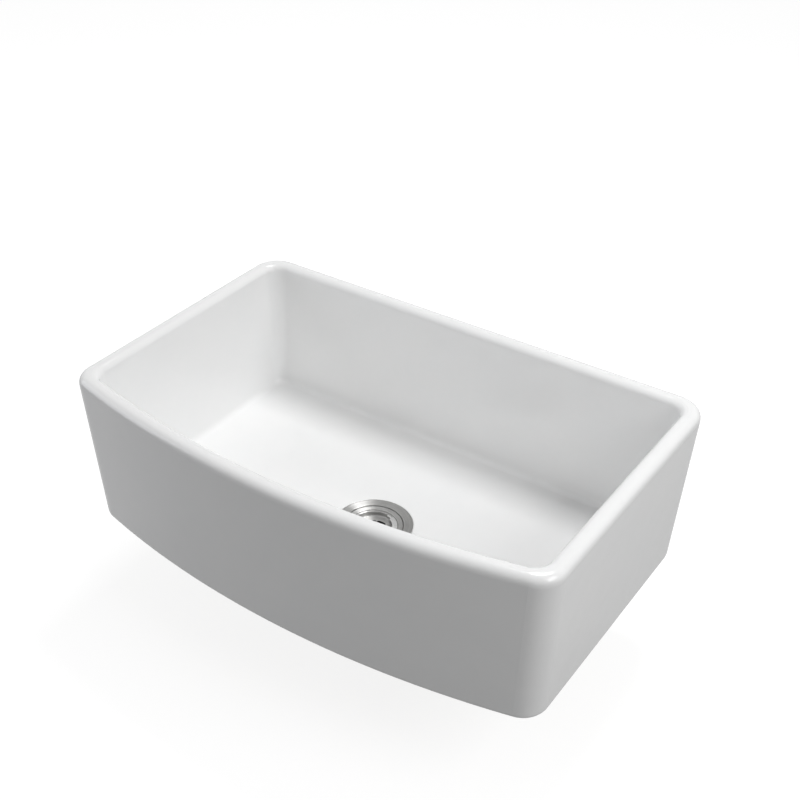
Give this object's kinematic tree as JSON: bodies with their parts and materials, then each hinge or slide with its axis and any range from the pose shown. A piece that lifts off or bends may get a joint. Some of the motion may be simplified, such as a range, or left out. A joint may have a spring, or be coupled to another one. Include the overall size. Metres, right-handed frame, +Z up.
{
  "type": "farmhouse apron front sink",
  "caption": "Single-bowl farmhouse kitchen sink in white fireclay with a bowed apron front, a steel basket strainer whose basket lifts out by a folding bail, and a waste outlet below.",
  "frame": {"origin": "where the drain's axis meets the plane of the sink's underside", "axes": "+X to the right seen from the apron, +Y from the apron to the back wall, +Z up"},
  "size_m": [0.7622, 0.491, 0.398],
  "materials": {
    "glaze": "gloss white glaze on fireclay",
    "soft_rubber": "matt moulded black rubber",
    "brushed_shell": "stainless, brushed round the drain's axis",
    "basket_steel": "pressed stainless sheet, brushed",
    "bail_steel": "pressed stainless strip, polished edges",
    "pin_steel": "plain stainless",
    "turned_steel": "turned stainless",
    "spring_steel": "drawn wire",
    "brass": "machined brass",
    "cast_brass": "cast, machined faces",
    "tube_chrome": "chromed tube",
    "nut_chrome": "chromed casting",
    "fibre": "pressed fibre"
  },
  "bodies": {
    "sink": {"sink_body": "glaze", "flange_gasket": "soft_rubber", "strainer_body": "brushed_shell", "outlet_tube": "brass", "crossbar": "brass", "sink_washer": "soft_rubber", "friction_ring": "fibre", "lock_nut": "cast_brass", "tailpiece": "tube_chrome", "tailpiece_gasket": "soft_rubber", "coupling_nut": "nut_chrome"},
    "stopper": {"stem": "turned_steel", "stem_washer": "pin_steel", "cap_nut": "turned_steel", "stopper_backing": "basket_steel", "stopper_seal": "soft_rubber", "stopper_retainer": "basket_steel", "stopper_nut": "brass", "latch_balls": "turned_steel", "latch_spring": "spring_steel"},
    "basket": {"basket_cup": "basket_steel", "bail_rivets": "pin_steel"},
    "bail": {"bail_handle": "bail_steel"}
  },
  "joints": [
    {"name": "basket_lift", "type": "slide", "parent": "sink", "child": "stopper", "axis": [0, 0, 1], "range_m": [0, 0.31]},
    {"name": "basket_spin", "type": "hinge", "parent": "stopper", "child": "basket", "pos_m": [0, 0, 0.0142], "axis": [0, 0, 1], "continuous": true},
    {"name": "bail_fold", "type": "hinge", "parent": "basket", "child": "bail", "pos_m": [0, 0, 0.0184], "axis": [-0.2419, -0.9703, 0], "range_deg": [0, 90]}
  ]
}
